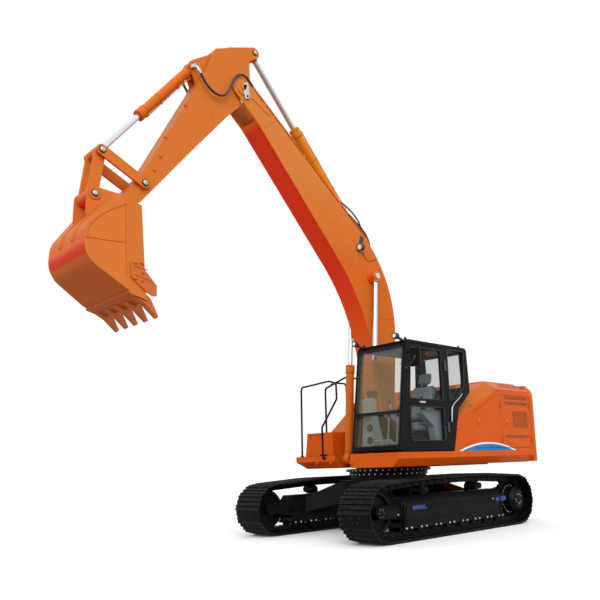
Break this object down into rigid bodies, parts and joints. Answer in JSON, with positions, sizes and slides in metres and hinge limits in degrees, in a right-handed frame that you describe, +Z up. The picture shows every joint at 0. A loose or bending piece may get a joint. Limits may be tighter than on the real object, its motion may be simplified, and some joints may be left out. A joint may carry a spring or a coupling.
{
  "type": "crawler excavator",
  "caption": "Crawler excavator with a closed cab, two fixed tracks, slewing upper frame, one-piece boom, arm and toothed bucket on hydraulic cylinders, with opening doors and hood.",
  "frame": {"origin": "on the ground, on the swing axis of the upper frame, midway between the tracks", "axes": "+X forwards over the idlers, +Y to the operator's left, +Z up"},
  "size_m": [8.8331, 3.1536, 7.746],
  "materials": {
    "body_orange": "semi-gloss",
    "boom_orange": "semi-gloss",
    "frame_black": "satin",
    "track_black": "worn",
    "wheel_black": "satin",
    "cab_black": "gloss",
    "tinted_glass": "clear",
    "rod_chrome": "polished",
    "pin_steel": "machined",
    "tooth_steel": "worn",
    "seat_fabric": "woven",
    "console_plastic": "matt",
    "trim_plastic": "matt",
    "engine_grey": "matt",
    "vent_brown": "matt",
    "pipe_steel": "satin"
  },
  "bodies": {
    "undercarriage": {"car_body": "frame_black", "track_frame_left": "frame_black", "track_frame_right": "frame_black", "track_left": "track_black", "track_right": "track_black", "front_idlers": "wheel_black", "drive_sprockets": "wheel_black", "final_drives": "frame_black", "track_rollers": "wheel_black", "swing_bearing_lower": "frame_black"},
    "upper": {"swing_bearing_upper": "frame_black", "main_frame": "body_orange", "frame_pins": "pin_steel", "deck_left": "body_orange", "deck_right": "body_orange", "counterweight": "body_orange", "engine_block": "engine_grey", "engine_housing": "body_orange", "hydraulic_tank": "body_orange", "fuel_tank": "body_orange", "tool_box": "body_orange", "handrails": "cab_black", "cab_shell": "cab_black", "cab_glass": "tinted_glass", "operator_seat": "seat_fabric", "cab_controls": "console_plastic", "roof_lamps": "trim_plastic", "cab_mirror": "trim_plastic", "top_vent": "vent_brown"},
    "cab_door_body": {"cab_door": "cab_black", "cab_door_glass": "tinted_glass"},
    "hood_body": {"engine_hood": "body_orange"},
    "front_door_body": {"service_door_front": "body_orange"},
    "rear_door_body": {"service_door_rear": "body_orange", "door_vents": "vent_brown"},
    "pump_door_body": {"pump_door": "body_orange"},
    "lid_body": {"tool_box_lid": "body_orange"},
    "boom_body": {"boom": "boom_orange", "boom_pins": "pin_steel", "work_lamp": "trim_plastic", "boom_pipes": "pipe_steel"},
    "boom_tube_left_body": {"boom_cylinder_left": "boom_orange"},
    "boom_tube_right_body": {"boom_cylinder_right": "boom_orange"},
    "boom_rod_left_body": {"boom_rod_left": "rod_chrome"},
    "boom_rod_right_body": {"boom_rod_right": "rod_chrome"},
    "arm_body": {"arm": "boom_orange", "arm_pins": "pin_steel"},
    "arm_tube_body": {"arm_cylinder": "boom_orange"},
    "arm_rod_body": {"arm_rod": "rod_chrome"},
    "bucket_tube_body": {"bucket_cylinder": "boom_orange"},
    "bucket_rod_body": {"bucket_rod": "rod_chrome"},
    "rocker_body": {"rocker_links": "boom_orange"},
    "link_body": {"bucket_link": "boom_orange"},
    "bucket_body": {"bucket": "boom_orange", "bucket_teeth": "tooth_steel", "bucket_pins": "pin_steel"}
  },
  "joints": [
    {"name": "swing", "type": "hinge", "parent": "undercarriage", "child": "upper", "pos_m": [0, 0, 1], "axis": [0, 0, 1], "continuous": true},
    {"name": "boom_lift", "type": "hinge", "parent": "upper", "child": "boom_body", "pos_m": [0.13, 0, 2.02], "axis": [0, 1, 0], "range_deg": [0, 91]},
    {"name": "arm_reach", "type": "hinge", "parent": "boom_body", "child": "arm_body", "pos_m": [3.23, 0, 6.89], "axis": [0, -1, 0], "range_deg": [-40, 75]},
    {"name": "bucket_curl", "type": "hinge", "parent": "arm_body", "child": "bucket_body", "pos_m": [5.18, 0, 4.545], "axis": [0, -1, 0], "range_deg": [-60, 95]},
    {"name": "rocker_turn", "type": "hinge", "parent": "arm_body", "child": "rocker_body", "pos_m": [4.915, 0, 4.9], "axis": [0, -1, 0], "range_deg": [-39.18, 61.74]},
    {"name": "link_turn", "type": "hinge", "parent": "bucket_body", "child": "link_body", "pos_m": [5.622, 0, 4.57], "axis": [0, -1, 0], "range_deg": [-78.09, 49.5]},
    {"name": "bucket_tube_turn", "type": "hinge", "parent": "arm_body", "child": "bucket_tube_body", "pos_m": [4.04, 0, 6.97], "axis": [0, -1, 0], "range_deg": [-0.78, 0.94]},
    {"name": "bucket_rod_slide", "type": "slide", "parent": "bucket_tube_body", "child": "bucket_rod_body", "axis": [0.6363, 0, -0.7715], "range_m": [-0.6168, 0.3907]},
    {"name": "arm_tube_turn", "type": "hinge", "parent": "boom_body", "child": "arm_tube_body", "pos_m": [0.82, 0, 5.4], "axis": [0, -1, 0], "range_deg": [-1.7, 2.76]},
    {"name": "arm_rod_slide", "type": "slide", "parent": "arm_tube_body", "child": "arm_rod_body", "axis": [0.6745, 0, 0.7382], "range_m": [-0.9604, 0.5136]},
    {"name": "boom_tube_left_turn", "type": "hinge", "parent": "upper", "child": "boom_tube_left_body", "pos_m": [0.69, 0.285, 1.22], "axis": [0, 1, 0], "range_deg": [-0.5, 76.75]},
    {"name": "boom_rod_left_slide", "type": "slide", "parent": "boom_tube_left_body", "child": "boom_rod_left_body", "axis": [-0.082, 0, 0.9966], "range_m": [-1.2677, 0.003]},
    {"name": "boom_tube_right_turn", "type": "hinge", "parent": "upper", "child": "boom_tube_right_body", "pos_m": [0.69, -0.285, 1.22], "axis": [0, 1, 0], "range_deg": [-0.5, 76.75]},
    {"name": "boom_rod_right_slide", "type": "slide", "parent": "boom_tube_right_body", "child": "boom_rod_right_body", "axis": [-0.082, 0, 0.9966], "range_m": [-1.2677, 0.003]},
    {"name": "cab_door_swing", "type": "hinge", "parent": "upper", "child": "cab_door_body", "pos_m": [0.133, 1.382, 2.18], "axis": [0, 0, 1], "range_deg": [0, 165]},
    {"name": "engine_hood_lift", "type": "hinge", "parent": "upper", "child": "hood_body", "pos_m": [-1.528, 0, 2.544], "axis": [0, 1, 0], "range_deg": [0, 60]},
    {"name": "front_door_swing", "type": "hinge", "parent": "upper", "child": "front_door_body", "pos_m": [-1.567, 1.372, 1.8], "axis": [0, 0, 1], "range_deg": [0, 90]},
    {"name": "rear_door_swing", "type": "hinge", "parent": "upper", "child": "rear_door_body", "pos_m": [-2.597, 1.372, 1.8], "axis": [0, 0, 1], "range_deg": [0, 100]},
    {"name": "pump_door_swing", "type": "hinge", "parent": "upper", "child": "pump_door_body", "pos_m": [-2.597, -1.372, 1.8], "axis": [0, 0, -1], "range_deg": [0, 100]},
    {"name": "tool_box_lid_lift", "type": "hinge", "parent": "upper", "child": "lid_body", "pos_m": [0.082, -1, 1.7193], "axis": [0, -1, 0], "range_deg": [0, 80]}
  ],
  "couplings": [
    {"joint": "rocker_turn", "follows": "bucket_curl", "ratio": 0.6446},
    {"joint": "link_turn", "follows": "bucket_curl", "ratio": -0.8167},
    {"joint": "bucket_tube_turn", "follows": "bucket_curl", "ratio": 0.0046},
    {"joint": "bucket_rod_slide", "follows": "bucket_curl", "m_per_rad": -0.3702},
    {"joint": "arm_tube_turn", "follows": "arm_reach", "ratio": 0.0301},
    {"joint": "arm_rod_slide", "follows": "arm_reach", "m_per_rad": -0.7314},
    {"joint": "boom_tube_left_turn", "follows": "boom_lift", "ratio": 0.8379},
    {"joint": "boom_rod_left_slide", "follows": "boom_lift", "m_per_rad": -0.7963},
    {"joint": "boom_tube_right_turn", "follows": "boom_lift", "ratio": 0.8379},
    {"joint": "boom_rod_right_slide", "follows": "boom_lift", "m_per_rad": -0.7963}
  ]
}
